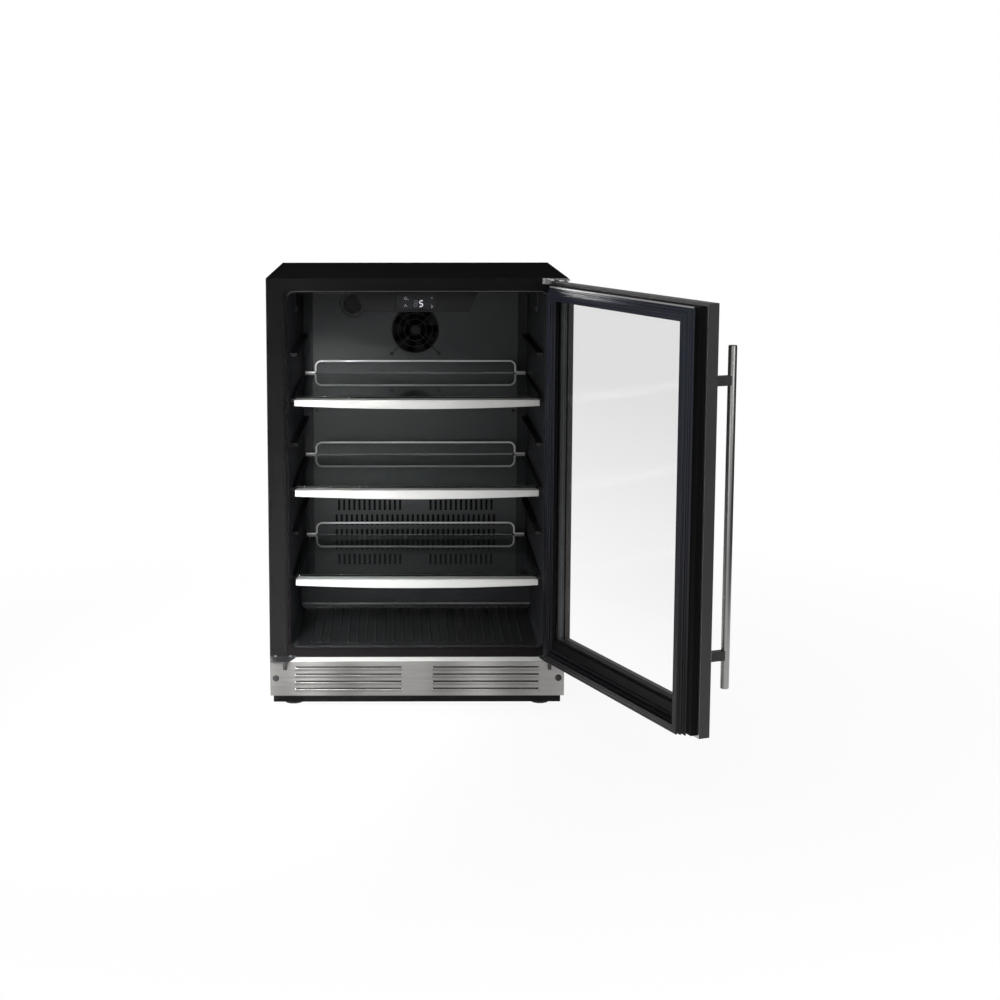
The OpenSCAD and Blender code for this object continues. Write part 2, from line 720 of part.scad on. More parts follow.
// Angle bracket on the front flange, with the upper hinge pin pointing down
module upper_hinge_bracket() color("#9a9b9c") on_floor() {
    leg_z = body_h - 12;
    leg_t = 2.5;
    pin_z = door_z1 - bush_l + 2 * gap;
    along_y(-gap - leg_t, -gap) polygon([
        [half_w - 51.5, body_h - 0.5], [half_w - 0.5, body_h - 0.5],
        [half_w - 0.5, leg_z + 3], [half_w - 36, leg_z], [half_w - 51.5, leg_z]
    ]);
    difference() {
        union() {
            slab(hinge_x - 22, half_w - 0.5, hinge_y, -gap, arm_z, body_h - 0.5);
            translate([hinge_x, hinge_y, arm_z]) cylinder(r = 10, h = body_h - 0.5 - arm_z);
        }
        translate([hinge_x - 22, hinge_y, arm_z - 1]) cylinder(r = 12, h = 6);
    }
    translate([hinge_x, hinge_y, pin_z]) cylinder(d = pin_d, h = arm_z + 1 - pin_z);
}

// Screws of the hinge brackets
module hinge_screws() color("#c4c5c6") on_floor() {
    translate([half_w - 47, -gap - 2.5, body_h - 6]) screw_y(10, 3);
    both_sides() {
        for (x = [half_w - 12, half_w - 42])
            translate([x, -9, bracket_top]) rotate([-90, 0, 0]) screw_y(7, 2.4);
    }
}

/* ---------- machinery ---------- */

// Domed compressor shell with its seam, base plate, terminal box and stub tubes
module compressor() color("#19191a") on_floor() translate([compressor_x, machine_mid_y, 0]) {
    r = compressor_d / 2;
    z0 = floor_z + 18;
    rotate_extrude() polygon(concat(
        [[0, z0]],
        [for (a = [-90:15:0]) [r - 30 + 30 * cos(a), z0 + 30 + 30 * sin(a)]],
        [[r, z0 + compressor_h * 0.55], [r + 3, z0 + compressor_h * 0.55],
         [r + 3, z0 + compressor_h * 0.55 + 4], [r, z0 + compressor_h * 0.55 + 4]],
        [for (a = [0:15:90]) [r - 40 + 40 * cos(a), z0 + compressor_h - 40 + 40 * sin(a)]],
        [[0, z0 + compressor_h]]
    ));
    translate([0, 0, z0]) linear_extrude(3) difference() {
        square([compressor_plate_w, compressor_d - 10], center = true);
        mount_places() circle(d = 8);
    }
    translate([-r - 18, -20, z0 + 40]) cube([26, 40, 50]);
    for (a = [20, 60])
        rotate(a) translate([r - 6, 0, z0 + 60]) rotate([0, 90, 0]) cylinder(d = 8, h = 20, $fn = 24);
    translate([-30, 30, z0 + compressor_h - 30]) cylinder(d = 8, h = 34, $fn = 24);
}

// One child at each corner of the compressor's base plate
module mount_places()
    for (x = [-1, 1])
        for (y = [-1, 1])
            translate([x * (compressor_d / 2 + 23), y * (compressor_d / 2 - 17)]) children();

// Rubber grommets under the compressor's base plate, round their studs
module compressor_mounts() color("#222222") on_floor()
    translate([compressor_x, machine_mid_y, floor_z]) mount_places() {
        pad = 12;
        pad_h = 18 - gap;
        stud_h = 27;
        rotate_extrude() polygon([
            [0, 0], [pad, 0], [pad, 6], [pad - 3, 9], [pad, 12], [pad, pad_h], [0, pad_h]
        ]);
        cylinder(d = 7.4, h = stud_h);
    }

// Condenser: a stack of serpentine tubes with end plates
module condenser_coil() color("#2d2b29") on_floor()
    translate([condenser_x, machine_mid_y, condenser_z]) {
        for (k = [0:condenser_layers - 1])
            translate([k * condenser_pitch, 0, 0]) rotate([0, 0, 90])
                serpentine(5, 90, condenser_step, tube_d);
        plate_in = 38;
        for (y = [-plate_in, plate_in])
            slab(-condenser_end, condenser_w + condenser_end, y - 0.6, y + 0.6,
                floor_z - condenser_z, condenser_h);
    }

module condenser_fan_frame() color("#1b1b1c") on_floor()
    translate([machine_fan_x, machine_mid_y, floor_z + fan_size / 2 + gap]) rotate([0, 0, 90])
        fan_frame();

module condenser_fan_rotor() color("#262627") on_floor()
    translate([machine_fan_x, machine_mid_y, floor_z + fan_size / 2 + gap]) rotate([0, 0, 90])
        fan_rotor();

// Tray that catches the melt water, over the condenser
module drip_tray() color("#4b4d4f") on_floor() {
    z0 = condenser_z + condenser_h + gap;
    x0 = condenser_x - condenser_end - 4;
    x1 = condenser_x + condenser_w + condenser_end + 2;
    difference() {
        slab(x0, x1, machine_y + 12, rear_y - 22, z0, z0 + 24);
        slab(x0 + 2, x1 - 2, machine_y + 14, rear_y - 24, z0 + 2, z0 + 25);
    }
}

// Copper tube that rises from the compressor, crosses the compartment and drops to the condenser
module discharge_tube() color("#b87346") on_floor() {
    bend = 9;
    x0 = compressor_x - 30;
    x1 = machine_fan_x - fan_t - 11;
    x2 = condenser_x + condenser_w + tube_d / 2 + gap;
    y = machine_mid_y + 30;
    z0 = floor_z + 18 + compressor_h + 4 + gap;
    z1 = machine_z - 12;
    z2 = condenser_z + 4 * condenser_step;
    translate([x0, y, z0]) cylinder(d = tube_d, h = z1 - bend - z0, $fn = 20);
    translate([x0 - bend, y, z1 - bend]) rotate([90, 0, 0]) tube_bend(bend);
    translate([x1 + bend, y, z1]) rotate([0, 90, 0]) cylinder(d = tube_d, h = x0 - x1 - 2 * bend, $fn = 20);
    translate([x1 + bend, y, z1 - bend]) rotate([90, -90, 0]) tube_bend(bend);
    translate([x1, y, z2 + bend]) cylinder(d = tube_d, h = z1 - z2 - 2 * bend, $fn = 20);
    translate([x1 - bend, y, z2 + bend]) rotate([90, 90, 0]) tube_bend(bend);
    translate([x2, y, z2]) rotate([0, 90, 0]) cylinder(d = tube_d, h = x1 - bend - x2, $fn = 20);
}

// A quarter turn of the discharge tube
module tube_bend(r) rotate_extrude(angle = 90) translate([r, 0]) circle(d = tube_d, $fn = 20);

// Electronics box in front of the tray's rear lip, between the fan and the compressor
module control_box() color("#3f4143") on_floor() {
    y1 = rear_y - lip_d - gap;
    slab(machine_fan_x + 10, compressor_x - compressor_plate_w / 2 - 16, y1 - 38, y1,
        floor_z, floor_z + 110);
}

// Slotted cover over the machine compartment
module machine_cover() color("#222325") on_floor() difference() {
    slab(-inside_x, inside_x, rear_y, body_d, foot_h, machine_z);
    along_y(rear_y - 1, body_d + 1) {
        for (x = [-20:20])
            if (abs(x) > 1)
                translate([x * 12 - 2.5, machine_z - 70]) square([5, 44]);
        for (x = [-8:8])
            translate([x * 12 + 150 - 2.5, foot_h + 34]) square([5, 60]);
    }
    translate([-base_w / 2 + 40, rear_y - 1, foot_h + 40]) rotate([-90, 0, 0])
        cylinder(d = 14, h = sheet + 2);
}

// Screws of the rear panel and the machine cover
module cover_screws() color("#8a8c8e") on_floor() both_sides()
    for (z = [foot_h + 20, machine_z - 12, machine_z + 14, body_h - 20])
        translate([inside_x - 12, body_d, z]) rotate([0, 0, 180]) screw_y(8, 2);

// Rubber gland in the cover, where the supply lead leaves
module mains_gland() color("#202020") on_floor()
    translate([-base_w / 2 + 40, body_d, foot_h + 40]) rotate([90, 0, 0]) rotate_extrude() polygon([
        [4, -4], [9, -4], [9.5, -2], [9.5, 0], [6.9, 0], [6.9, sheet], [9, sheet], [9, sheet + 3],
        [4, sheet + 3]
    ]);

/* ---------- door ---------- */

// A prism whose plan and side outlines are both given, cut to their common shape
module door_block(x0, x1, z0, z1, y0, y1, chamfer) intersection() {
    translate([0, 0, z0]) linear_extrude(z1 - z0) polygon([
        [x0, y1], [x1, y1], [x1, y0 + chamfer], [x1 - chamfer, y0], [x0 + chamfer, y0],
        [x0, y0 + chamfer]
    ]);
    along_x(x0, x1) polygon([
        [y1, z0], [y1, z1], [y0 + chamfer, z1], [y0, z1 - chamfer], [y0, z0 + chamfer],
        [y0 + chamfer, z0]
    ]);
}

// Space for a pane's edge, grown by g beyond the pane
module pane_space(y0, y1, g) slab(-glass_x - pane_edge - g, glass_x + pane_edge + g, y0, y1,
    glass_z0 - pane_edge - g, glass_z1 + pane_edge + g);

// Steel frame of the door with the bush holes at the hinge side
module door_frame() color("#6d6a68") on_door() difference() {
    door_block(-half_w, half_w, door_z0, door_z1, face_y, outer_y, 1.2);
    slab(-glass_x, glass_x, face_y - 1, outer_y + 1, glass_z0, glass_z1);
    pane_space(pane_out_y - pane_t - gap, outer_y + 1, gap);
    translate([hinge_x, hinge_y, door_z0 - 1]) cylinder(r = bush_r + run_fit, h = bush_l + 1);
    translate([hinge_x, hinge_y, door_z1 - bush_l]) cylinder(r = bush_r + run_fit, h = bush_l + 1);
}

// Plastic frame on the inside of the door
module door_inner_frame() color("#131314") on_door() difference() {
    slab(-half_w + inner_set, half_w - inner_set, outer_y, inner_y,
        door_z0 + inner_set, door_z1 - inner_set);
    slab(-glass_x, glass_x, outer_y - 1, inner_y + 1, glass_z0, glass_z1);
    pane_space(outer_y - 1, pane_in_y + gap, gap);
}

// Magnetic gasket: a ring with a leaning outer flank, so it clears the mouth as the door turns
module door_gasket() color("#3c4043") on_door() {
    y0 = inner_y;
    y1 = -gap;
    x0 = mouth_x - 5.5;
    x1 = x0 + 26;
    z0 = door_z0 + 1.5;
    z1 = door_z1 - 7;
    lean = 13;
    difference() {
        intersection() {
            translate([0, 0, z0]) linear_extrude(z1 - z0)
                polygon([[-x1, y0], [x1, y0], [x1 - lean, y1], [-x1 + lean, y1]]);
            along_x(-x1, x1) polygon([[y0, z0], [y0, z1], [y1, z1 - lean], [y1, z0]]);
        }
        along_x(-x0, x0) polygon([
            [y0 - 1, z0 + 27], [y0 - 1, z1 - 26], [y1 + 1, z1 - 26], [y1 + 1, z0 + 27 - lean]
        ]);
    }
}

module outer_glass() color([0.80, 0.83, 0.83, 0.4]) on_door()
    pane_space(pane_out_y - pane_t, pane_out_y, 0);

module inner_glass() color([0.80, 0.83, 0.83, 0.4]) on_door()
    pane_space(pane_in_y - pane_t, pane_in_y, 0);

// Hollow bar between the panes
module glass_spacer() color("#8b8d8e") on_door() difference() {
    pane_space(pane_out_y, pane_in_y - pane_t, 0);
    slab(-glass_x + 2, glass_x - 2, pane_out_y - 1, pane_in_y, glass_z0 + 2, glass_z1 - 2);
}

handle_x = -half_w + handle_in;
handle_y = face_y - handle_out;

// Round handle bar with slightly rounded ends
module handle_bar() color("#b5b6b7") on_door() translate([handle_x, handle_y, handle_z])
    rotate_extrude() polygon([
        [0, 0], [handle_d / 2 - 1.5, 0], [handle_d / 2 - 0.4, 0.4], [handle_d / 2, 1.5],
        [handle_d / 2, handle_l - 1.5], [handle_d / 2 - 0.4, handle_l - 0.4],
        [handle_d / 2 - 1.5, handle_l], [0, handle_l]
    ]);

// Two flat-sided posts hollowed to seat the bar
module handle_posts() color("#8f8f8e") on_door()
    for (z = [handle_z + post_inset, handle_z + handle_l - post_inset])
        difference() {
            slab(handle_x - handle_d / 2 + 1, handle_x + handle_d / 2 - 1, handle_y, face_y,
                z - post_h / 2, z + post_h / 2);
            translate([handle_x, handle_y, z - post_h]) cylinder(r = handle_d / 2 + run_fit, h = 2 * post_h);
        }

// Nylon bushes in the door's corners; the lower one has the collar that carries the door
module door_bushes() color("#d8d6cf") on_door() {
    translate([hinge_x, hinge_y, 0]) {
        difference() {
            union() {
                translate([0, 0, door_z0]) cylinder(r = bush_r, h = bush_l - gap);
                translate([0, 0, bracket_top + gap])
                    cylinder(r = bush_r + 2.5, h = door_z0 - bracket_top - gap);
                translate([0, 0, door_z1 - bush_l + gap]) cylinder(r = bush_r, h = bush_l - gap);
            }
            translate([0, 0, bracket_top]) cylinder(r = pin_d / 2 + run_fit, h = body_h);
        }
    }
}

/* ---------- shelves ---------- */

module shelf_glass(n) color([0.75, 0.80, 0.78, 0.4]) on_floor()
    slab(-shelf_w / 2, shelf_w / 2, shelf_glass_y, shelf_rear_y, glass_under(n), shelf_z(n));

// Folded front trim: a lip that the glass rests on and a face whose lower edge sags in an arc
module shelf_trim(n) color("#c9cacb") on_floor() translate([0, shelf_y, glass_under(n)]) {
    half = shelf_w / 2;
    bow_r = (half * half + trim_bow * trim_bow) / (2 * trim_bow);
    along_y(0, trim_t) {
        translate([-half, -trim_h]) square([shelf_w, trim_h]);
        intersection() {
            translate([-half, -trim_h - trim_bow - 1]) square([shelf_w, trim_bow + 2]);
            translate([0, -trim_h - trim_bow + bow_r]) circle(bow_r, $fn = 360);
        }
    }
    translate([0, 0, -trim_t]) linear_extrude(trim_t) polygon([
        [-half, 0], [half, 0], [half - lip_cut, trim_lip], [lip_cut - half, trim_lip]
    ]);
}

// Bent stop wire at the back of a shelf
module shelf_guard(n) color("#9fa1a2") on_floor()
    translate([0, wire_y, shelf_z(n) + wire_d / 2]) {
        foot_bend = 4;
        rise = wire_h - wire_d / 2;
        half = wire_w / 2;
        translate([-half + wire_bend, 0, rise]) rotate([0, 90, 0])
            cylinder(d = wire_d, h = wire_w - 2 * wire_bend, $fn = 20);
        both_sides() {
            translate([half, 0, foot_bend])
                cylinder(d = wire_d, h = rise - foot_bend - wire_bend, $fn = 20);
            translate([half - wire_bend, 0, rise - wire_bend]) rotate([90, 0, 0])
                rotate_extrude(angle = 90) translate([wire_bend, 0]) circle(d = wire_d, $fn = 20);
            translate([half + foot_bend, 0, foot_bend]) rotate([90, 180, 0])
                rotate_extrude(angle = 90) translate([foot_bend, 0]) circle(d = wire_d, $fn = 20);
            translate([half + foot_bend, 0, 0]) rotate([0, 90, 0])
                cylinder(d = wire_d, h = shelf_w / 2 - half - foot_bend, $fn = 20);
        }
    }

module shelf_glass_1() shelf_glass(1);
module shelf_trim_1() shelf_trim(1);
module shelf_guard_1() shelf_guard(1);
module shelf_glass_2() shelf_glass(2);
module shelf_trim_2() shelf_trim(2);
module shelf_guard_2() shelf_guard(2);
module shelf_glass_3() shelf_glass(3);
module shelf_trim_3() shelf_trim(3);
module shelf_guard_3() shelf_guard(3);

cabinet_shell();
rear_panel();
insulation();
inner_liner();
front_frame();
liner_floor();
shelf_ledges();
evaporator_cover();
fan_guard();
filter_cap();
evaporator_coil();
evaporator_fan_frame();
panel_screws();
control_housing();
display_panel();
side_lights();
base_frame();
kick_plate();
kick_screws();
upper_hinge_bracket();
lower_hinge_bracket();
spare_hinge_bracket();
hinge_screws();
compressor();
compressor_mounts();
condenser_coil();
condenser_fan_frame();
drip_tray();
discharge_tube();
control_box();
machine_cover();
cover_screws();
mains_gland();
door_frame();
door_inner_frame();
door_gasket();
outer_glass();
inner_glass();
glass_spacer();
handle_bar();
handle_posts();
door_bushes();
shelf_glass_1();
shelf_trim_1();
shelf_guard_1();
shelf_glass_2();
shelf_trim_2();
shelf_guard_2();
shelf_glass_3();
shelf_trim_3();
shelf_guard_3();
evaporator_fan_rotor();
condenser_fan_rotor();
foot_fl();
foot_fr();
foot_rl();
foot_rr();
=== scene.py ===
import json
import math

import bmesh
import bpy
from mathutils import Matrix, Vector

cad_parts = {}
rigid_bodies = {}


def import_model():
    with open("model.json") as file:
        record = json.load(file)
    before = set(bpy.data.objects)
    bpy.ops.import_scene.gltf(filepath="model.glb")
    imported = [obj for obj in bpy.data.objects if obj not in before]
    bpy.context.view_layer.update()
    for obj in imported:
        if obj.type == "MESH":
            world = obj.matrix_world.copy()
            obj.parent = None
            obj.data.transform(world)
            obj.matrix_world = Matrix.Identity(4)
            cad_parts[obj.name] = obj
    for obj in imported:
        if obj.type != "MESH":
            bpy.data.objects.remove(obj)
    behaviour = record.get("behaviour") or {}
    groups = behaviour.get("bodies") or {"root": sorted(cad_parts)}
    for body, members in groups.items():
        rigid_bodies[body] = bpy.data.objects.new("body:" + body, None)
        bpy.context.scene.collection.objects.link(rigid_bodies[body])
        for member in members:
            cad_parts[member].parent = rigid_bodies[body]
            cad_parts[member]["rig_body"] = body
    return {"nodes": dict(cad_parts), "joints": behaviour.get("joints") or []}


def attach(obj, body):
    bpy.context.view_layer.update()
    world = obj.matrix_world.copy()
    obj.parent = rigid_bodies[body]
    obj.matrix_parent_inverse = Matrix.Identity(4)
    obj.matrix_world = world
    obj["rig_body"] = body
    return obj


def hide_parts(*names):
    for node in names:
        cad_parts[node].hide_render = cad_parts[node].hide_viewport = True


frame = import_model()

scene = bpy.context.scene
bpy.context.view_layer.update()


# ---------------------------------------------------------------- camera
# A long lens a little above the cabinet's top, straight in front of the food compartment
# and tipped down by eight degrees.

lens = bpy.data.cameras.new("camera")
lens.sensor_width = 36
lens.lens = 68.568
lens.shift_x, lens.shift_y = 0.09596, -0.06272
lens.clip_end = 80
camera = bpy.data.objects.new("camera", lens)
camera.location = (-0.03013, -4.01752, 1.11477)
camera.rotation_euler = [math.radians(turn) for turn in (81.559, 0.049, -0.071)]
scene.collection.objects.link(camera)
scene.camera = camera
scene.view_settings.view_transform = "Standard"


# ---------------------------------------------------------------- studio
# White room with a pale painted floor. What polished steel mirrors is brighter in front
# and overhead than at the sides, so that the steel shows its roundness.

class Wire:
    """One output of a shader node. Sums written with wires add their Math nodes."""

    def __init__(self, tree, socket=None):
        self.tree, self.socket = tree, socket

    def node(self, kind, settings=None, sockets=None, out=0):
        """Adds a node: its settings first, then the values or wires of its sockets."""
        new = self.tree.nodes.new(kind)
        for name, value in (settings or {}).items():
            setattr(new, name, value)
        for name, value in (sockets or {}).items():
            if isinstance(value, Wire):
                self.tree.links.new(value.socket, new.inputs[name])
            else:
                new.inputs[name].default_value = value
        return Wire(self.tree, new.outputs[out])

    def out(self, name):
        """Another output of the same node."""
        return Wire(self.tree, self.socket.node.outputs[name])

    def sum(self, operation, first, second=0.0, clamp=False):
        settings = {"operation": operation, "use_clamp": clamp}
        return self.node("ShaderNodeMath", settings, {0: first, 1: second})

    def __add__(self, other):
        return self.sum("ADD", self, other)

    def __sub__(self, other):
        return self.sum("SUBTRACT", self, other)

    def __rsub__(self, other):
        return self.sum("SUBTRACT", other, self)

    def __mul__(self, other):
        return self.sum("MULTIPLY", self, other)

    def __truediv__(self, other):
        return self.sum("DIVIDE", self, other)

    def __pow__(self, other):
        return self.sum("POWER", self, other)

    __radd__, __rmul__ = __add__, __mul__

    def __abs__(self):
        return self.sum("ABSOLUTE", self)

    def sine(self):
        return self.sum("SINE", self)

    def clamped(self):
        return self.sum("ADD", self, 0.0, clamp=True)


def seen(start):
    """1 for what the camera sees, also in polished metal and through glass."""
    ray = start.node("ShaderNodeLightPath", out="Is Camera Ray")
    return (ray + ray.out("Is Glossy Ray") + ray.out("Is Transmission Ray")).clamped()


room = bpy.data.worlds.new("white_room")
room.use_nodes = True
scene.world = room
start = Wire(room.node_tree)
way = start.node("ShaderNodeTexCoord", out="Generated")
way = way.node("ShaderNodeSeparateXYZ", {}, {0: way}, out="X")
sideways, forward, upward = way, way.out("Y"), way.out("Z")
behind = (forward * 6.0 - 4.8).clamped()
ahead = (sideways * -0.5 - forward * 3.0 - 1.9).clamped()
overhead = (upward * 1.6 - 0.8).clamped()
mirrored = (0.04 + 0.60 * ahead + 0.12 * behind + 0.35 * overhead).clamped()
ray = way.node("ShaderNodeLightPath", out="Is Glossy Ray")
glossy = ray * (1 - ray.out("Is Camera Ray"))
direct = seen(start)
DAYLIGHT = 0.35
strength = direct * ((1 - glossy) + glossy * mirrored) + (1 - direct) * DAYLIGHT
sky = room.node_tree.nodes["Background"]
sky.inputs["Color"].default_value = (1, 1, 1, 1)
room.node_tree.links.new(strength.socket, sky.inputs["Strength"])


def lamp(name, place, aim, size, power, spread=180):
    """A soft square lamp at place that shines towards aim, within spread degrees."""
    light = bpy.data.lights.new(name, "AREA")
    light.shape, light.size, light.energy = "SQUARE", size, power
    light.spread = math.radians(spread)
    made = bpy.data.objects.new(name, light)
    made.location = place
    made.rotation_euler = (Vector(aim) - Vector(place)).to_track_quat("-Z", "Y").to_euler()
    scene.collection.objects.link(made)


lamp("key_lamp", (-0.36, -4.4, 2.05), (-0.36, 0.0, 0.68), 0.35, 0.60, spread=12)
lamp("low_key_lamp", (-0.36, -4.4, 0.62), (-0.31, 0.2, 0.42), 0.35, 0.22, spread=12)
lamp("fill_lamp", (-0.9, -3.2, 1.7), (-0.33, -0.27, 0.04), 0.7, 5.6, spread=16)
lamp("room_lamp", (-1.2, -3.8, 0.5), (0.0, 0.0, 0.40), 1.2, 12)
lamp("side_lamp", (2.6, -3.6, 1.6), (0.0, -0.3, 0.5), 1.4, 26)
lamp("top_lamp", (-0.4, -1.6, 3.4), (0.0, -0.3, 0.4), 2.2, 17)
lamp("wall_lamp", (-2.8, -2.6, 0.9), (0.25, 0.1, 0.5), 1.2, 15)
lamp("back_lamp", (-1.4, 3.4, 0.9), (0.0, 0.3, 0.45), 1.2, 110)

FLOOR_RADIUS, FLOOR_GLOW = 1.7, 0.91
ground = bmesh.new()
bmesh.ops.create_circle(ground, cap_ends=True, radius=FLOOR_RADIUS, segments=128)
floor_mesh = bpy.data.meshes.new("floor")
ground.to_mesh(floor_mesh)
ground.free()
floor = bpy.data.objects.new("floor", floor_mesh)
scene.collection.objects.link(floor)
pale = bpy.data.materials.new("pale_floor")
pale.use_nodes = True
start = Wire(pale.node_tree)
paint = pale.node_tree.nodes["Principled BSDF"]
paint.inputs["Base Color"].default_value = (0.86, 0.86, 0.86, 1)
paint.inputs["Roughness"].default_value = 0.9
paint.inputs["Specular IOR Level"].default_value = 0.0
glow = start.node("ShaderNodeEmission", {}, {"Color": (1, 1, 1, 1), "Strength": 1.0})
spot = start.node("ShaderNodeTexCoord", out="Object")
reach = spot.node("ShaderNodeVectorMath", {"operation": "LENGTH"}, {0: spot}, out="Value")
fading = (reach / FLOOR_RADIUS) ** 2.0
both = start.node("ShaderNodeMixShader", {}, {
    0: seen(start) * (FLOOR_GLOW + (1 - FLOOR_GLOW) * fading).clamped(),
    1: Wire(pale.node_tree, paint.outputs[0]),
    2: glow,
})
pale.node_tree.links.new(both.socket, pale.node_tree.nodes["Material Output"].inputs["Surface"])
floor_mesh.materials.append(pale)


# ---------------------------------------------------------------- cabinet wrap
# Side and top sheets folded from one piece of 1 mm steel, powder coated satin black. The
# flanges are turned in round the front, and the folds are eased by the press.

def finish(name, steady, changing):
    """A material. steady holds what is the same all over, and changing(place) gives wires
    for what varies, from the piece's own coordinates in metres."""
    made = bpy.data.materials.new(name)
    made.use_nodes = True
    shader = made.node_tree.nodes["Principled BSDF"]
    for socket, value in steady.items():
        shader.inputs[socket].default_value = value
    place = Wire(made.node_tree).node("ShaderNodeTexCoord", out="Object")
    for socket, wire in changing(place).items():
        made.node_tree.links.new(wire.socket, shader.inputs[socket])
    return made


def axes(place):
    """The three coordinates of a place as wires."""
    parts = place.node("ShaderNodeSeparateXYZ", {}, {0: place}, out="X")
    return parts, parts.out("Y"), parts.out("Z")


def grain(place, size, stretch=(1, 1, 1), detail=2.0):
    """Soft irregular pattern whose patches are about size metres, longer where stretched."""
    near = tuple(1 / (size * along) for along in stretch)
    laid = place.node("ShaderNodeVectorMath", {"operation": "MULTIPLY"}, {0: place, 1: near})
    return laid.node("ShaderNodeTexNoise", {}, {"Vector": laid, "Scale": 1.0, "Detail": detail})


def shades(amount, dark, light):
    """A colour between dark and light by amount, from 0 to 1."""
    ends = [tone if isinstance(tone, Wire) else (*tone, 1) for tone in (dark, light)]
    return amount.node("ShaderNodeMix", {"data_type": "RGBA"},
                       {0: amount, 6: ends[0], 7: ends[1]}, out=2)


def relief(height, depth):
    """Surface relief of depth metres."""
    return height.node("ShaderNodeBump", {},
                       {"Height": height, "Distance": depth, "Strength": 1.0})


def moulded(dark, light, rough=0.5, size=0.0009, depth=0.00006):
    """Moulded plastic or powder coat: cloudy shade, dull patches and a fine skin."""
    def changing(place):
        cloud = grain(place, 0.09, detail=3.0)
        skin = grain(place, size)
        return {
            "Base Color": shades(0.7 * cloud + 0.3 * skin, dark, light),
            "Roughness": rough - 0.06 + 0.12 * cloud,
            "Normal": relief(skin, depth),
        }
    return changing


def dress(node, material):
    """Gives a CAD node its material."""
    shown = frame["nodes"][node]
    for place in shown.material_slots:
        place.material = material


def piece(name, mesh, body, slot, material, *nodes):
    """A new object that rides on body and stands for the CAD nodes named."""
    made = bpy.data.objects.new(name, mesh)
    mesh.name = name
    mesh.materials.clear()
    mesh.materials.append(material)
    scene.collection.objects.link(made)
    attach(made, body)
    if nodes:
        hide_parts(*nodes)
    return made


WELD, FLAT, CREASE = 2e-6, math.radians(0.6), math.radians(30)


def eased(node, name, edge, slot, material):
    """A copy of a CAD node in one welded mesh. Its edges are rounded by edge metres, which
    stays under half the thickness of a sheet."""
    work = bmesh.new()
    work.from_mesh(frame["nodes"][node].data)
    bmesh.ops.remove_doubles(work, verts=work.verts, dist=WELD)
    bmesh.ops.dissolve_limit(work, angle_limit=FLAT, verts=work.verts, edges=work.edges)
    mesh = bpy.data.meshes.new(name)
    work.to_mesh(mesh)
    work.free()
    mesh.shade_smooth()
    mesh.set_sharp_from_angle(angle=CREASE)
    made = piece(name, mesh, frame["nodes"][node]["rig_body"], slot, material, node)
    rounding = made.modifiers.new("rounding", "BEVEL")
    rounding.width, rounding.segments = edge, 2
    rounding.limit_method, rounding.angle_limit = "ANGLE", CREASE
    rounding.harden_normals = True
    return made


FACING = 0.7


def repaint(made, material, chosen):
    """Gives the faces that chosen(centre, normal) picks a second material."""
    made.data.materials.append(material)
    for face in made.data.polygons:
        if chosen(face.center, face.normal):
            face.material_index = len(made.data.materials) - 1


black_coat = finish("black_powder_coat", {"Specular IOR Level": 0.0}, moulded(
    (0.0070, 0.0070, 0.0073), (0.0125, 0.0125, 0.0128), rough=0.62, size=0.0011))
eased("cabinet_shell", "cabinet_wrap", 0.0004, "black_steel", black_coat)


# ---------------------------------------------------------------- base and kick plate
# Black painted steel tray under the cabinet. The kick plate screwed in front of it is stainless
# sheet with pressed louvres, ground from side to side, with soft bands of painted reflection
# across it; its top flange is painted near white as a highlight.

ALONG_X, ALONG_Z = (True, False, False), (False, False, True)


def brushed(dark, light, lay, rough=0.3, painted_reflection_bands=0.0, width=0.1, depth=0.000012):
    """Ground steel: scratches along the axis marked in lay and soft bands across it;
    painted_reflection_bands adds broad soft bands of painted reflection, about width metres wide.
    """
    def changing(place):
        fine = [0.09 if lies else 0.00045 for lies in lay]
        broad = [0.6 if lies else 0.006 for lies in lay]
        scratch = grain(place, 1.0, fine, detail=3.0)
        band = grain(place, 1.0, broad)
        tone = 0.65 * scratch + 0.35 * band
        if painted_reflection_bands:
            tone = tone + painted_reflection_bands * (grain(place, 1.0, (width, 9.0, 9.0), detail=0.0) - 0.5)
        return {
            "Base Color": shades(tone.clamped(), dark, light),
            "Roughness": rough - 0.08 + 0.16 * scratch,
            "Normal": relief(scratch, depth),
        }
    return changing


base_paint = finish("black_base_paint", {"Specular IOR Level": 0.1}, moulded(
    (0.005, 0.005, 0.005), (0.009, 0.009, 0.009), rough=0.6))
eased("base_frame", "base_tray", 0.0007, "base_steel", base_paint)

# Painted reflection: soft random bands of lighter and darker steel across the kick plate.
kick_steel = finish("brushed_kick_steel", {"Metallic": 1.0}, brushed(
    (0.145, 0.142, 0.138), (0.345, 0.335, 0.325), ALONG_X, rough=0.36, painted_reflection_bands=1.9, width=0.085))
kick_sheet = eased("kick_plate", "kick_plate_sheet", 0.0003, "kick_steel", kick_steel)
# Painted highlight: the kick plate's upward faces, its top flange, are near white.
flange_painted_highlight = finish("flange_steel_painted_highlight", {"Metallic": 0.2}, brushed(
    (0.80, 0.80, 0.79), (0.92, 0.92, 0.91), ALONG_X, rough=0.34))
repaint(kick_sheet, flange_painted_highlight, lambda centre, normal: normal.z > FACING)

zinc = finish("zinc_plate", {"Metallic": 1.0}, moulded(
    (0.30, 0.30, 0.29), (0.52, 0.52, 0.50), rough=0.34, size=0.0006, depth=0.00002))
blackened = finish("blackened_screw_steel", {"Metallic": 0.5}, moulded(
    (0.012, 0.012, 0.012), (0.030, 0.030, 0.030), rough=0.42, size=0.0006, depth=0.00002))
eased("kick_screws", "kick_screw_heads", 0.0003, "screw_steel", blackened)


# ---------------------------------------------------------------- levelling feet
# Four black moulded pads with a notched rim for the fingers. Each turns on its own stem
# in a boss under the tray.

